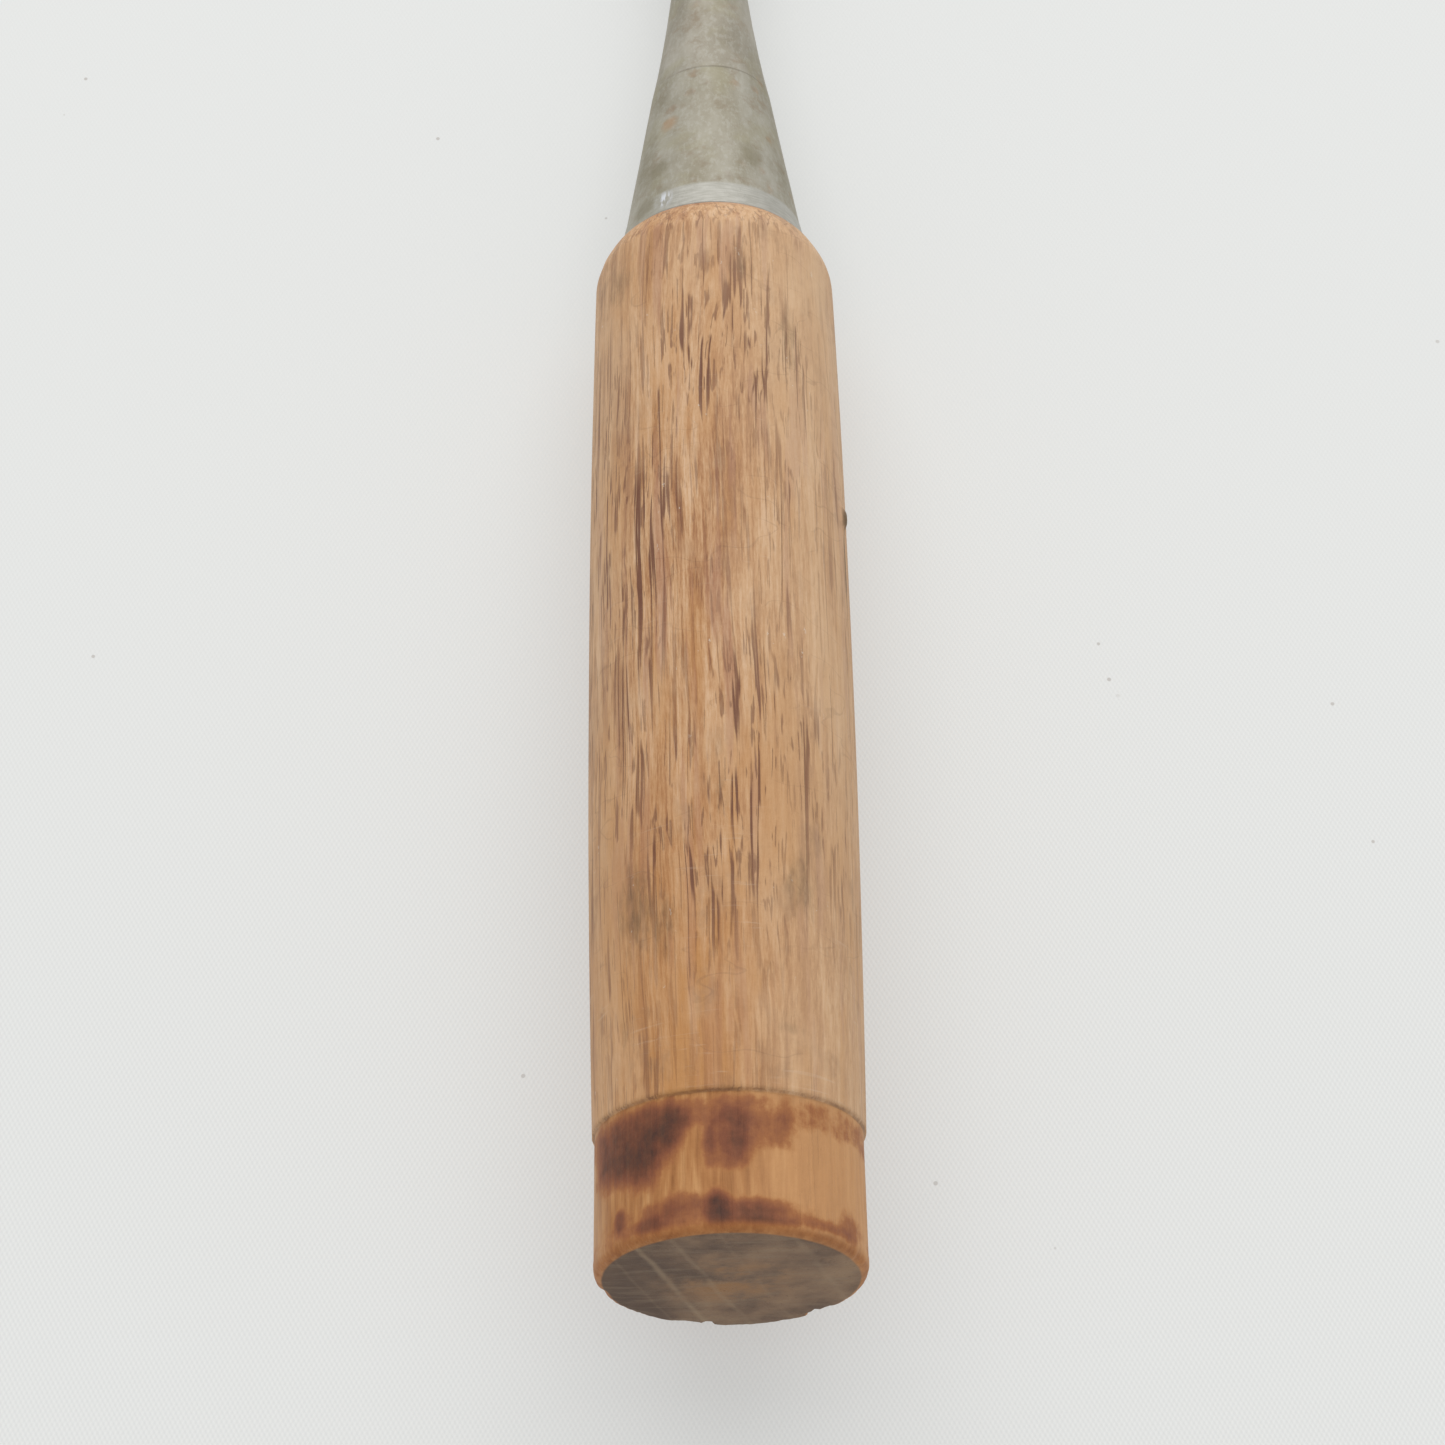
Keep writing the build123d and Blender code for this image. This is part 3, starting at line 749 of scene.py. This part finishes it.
# ---- Floor --------------------------------------------------------------------------------------
def canvas_material():
    """Pale canvas: a weave that shows close to the butt and fades with distance, and a little lint."""
    s = Shader("pale_canvas")
    threads = s.vector("MULTIPLY", s.position, (2 * pi / WARP_PITCH, 2 * pi / WEFT_PITCH, 0.0))
    warp, weft, _ = s.parts(threads)
    weave = s.times(s.math("SINE", warp), s.math("SINE", weft))
    near_butt = s.step(s.parts(s.position)[1], -0.12, -0.25)
    weave = s.times(weave, s.add(s.times(near_butt, 0.8), 0.2))
    cotton = s.mix(s.add(s.times(weave, 0.5), 0.5), (0.43, 0.435, 0.430), (0.50, 0.505, 0.495))
    lint = s.times(s.step(s.cells(s.position, 110.0), 0.035, 0.02),
                   s.step(s.noise(s.position, 30.0, 1.0), 0.48, 0.52))
    cotton = s.mix(s.times(lint, 0.7), cotton, (0.16, 0.12, 0.09))
    s.surface.inputs["Emission Color"].default_value = opaque(FLOOR_GLOW_COLOUR)
    s.surface.inputs["Emission Strength"].default_value = FLOOR_GLOW
    return s.finish(cotton, 0.95, s.bump(weave, 0.00004, 0.6), specular=0.1)


def make_floor():
    """A plane that leans so that the tool lies on the front of its handle and the tip of its blade."""
    low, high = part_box("cutting_steel")
    heel_y = high.y / MM - HEEL_BACK
    heel_z = low.z / MM
    slope = max((handle_radius(y) + heel_z) / (heel_y - y) for y in range(REST_FROM, REST_TO))
    place = (0.0, heel_y * MM, heel_z * MM - FLOOR_GAP)
    bpy.ops.mesh.primitive_plane_add(size=FLOOR_SIZE, location=place)
    floor = bpy.context.object
    floor.name = "floor"
    floor.rotation_euler = (atan2(slope, 1.0), 0.0, 0.0)
    floor.data.materials.append(canvas_material())


# ---- Light and camera -----------------------------------------------------------------------------
def light_room():
    """An even pale surround."""
    world = bpy.data.worlds.new("soft_room")
    world.use_nodes = True
    background = world.node_tree.nodes["Background"]
    background.inputs["Color"].default_value = opaque(ROOM_COLOUR)
    background.inputs["Strength"].default_value = ROOM_STRENGTH
    bpy.context.scene.world = world


def hang_window():
    """One large soft lamp beyond the blade."""
    lamp = bpy.data.lights.new("window", "AREA")
    lamp.shape = "SQUARE"
    lamp.size = WINDOW_SIZE
    lamp.energy = WINDOW_POWER
    window = bpy.data.objects.new("window", lamp)
    window.location = WINDOW_PLACE
    facing = Vector(WINDOW_AIM) - Vector(WINDOW_PLACE)
    window.rotation_euler = facing.to_track_quat("-Z", "Y").to_euler()
    bpy.context.scene.collection.objects.link(window)


def set_camera():
    """The view, from close above the butt."""
    view = bpy.data.cameras.new("camera")
    view.sensor_width = SENSOR
    view.lens = LENS
    view.clip_start = 0.01
    camera = bpy.data.objects.new("camera", view)
    camera.location = CAMERA_PLACE
    camera.rotation_euler = [radians(turn) for turn in CAMERA_TURN]
    bpy.context.scene.collection.objects.link(camera)
    bpy.context.scene.camera = camera
    bpy.context.scene.view_settings.view_transform = "Standard"


make_floor()
light_room()
hang_window()
set_camera()
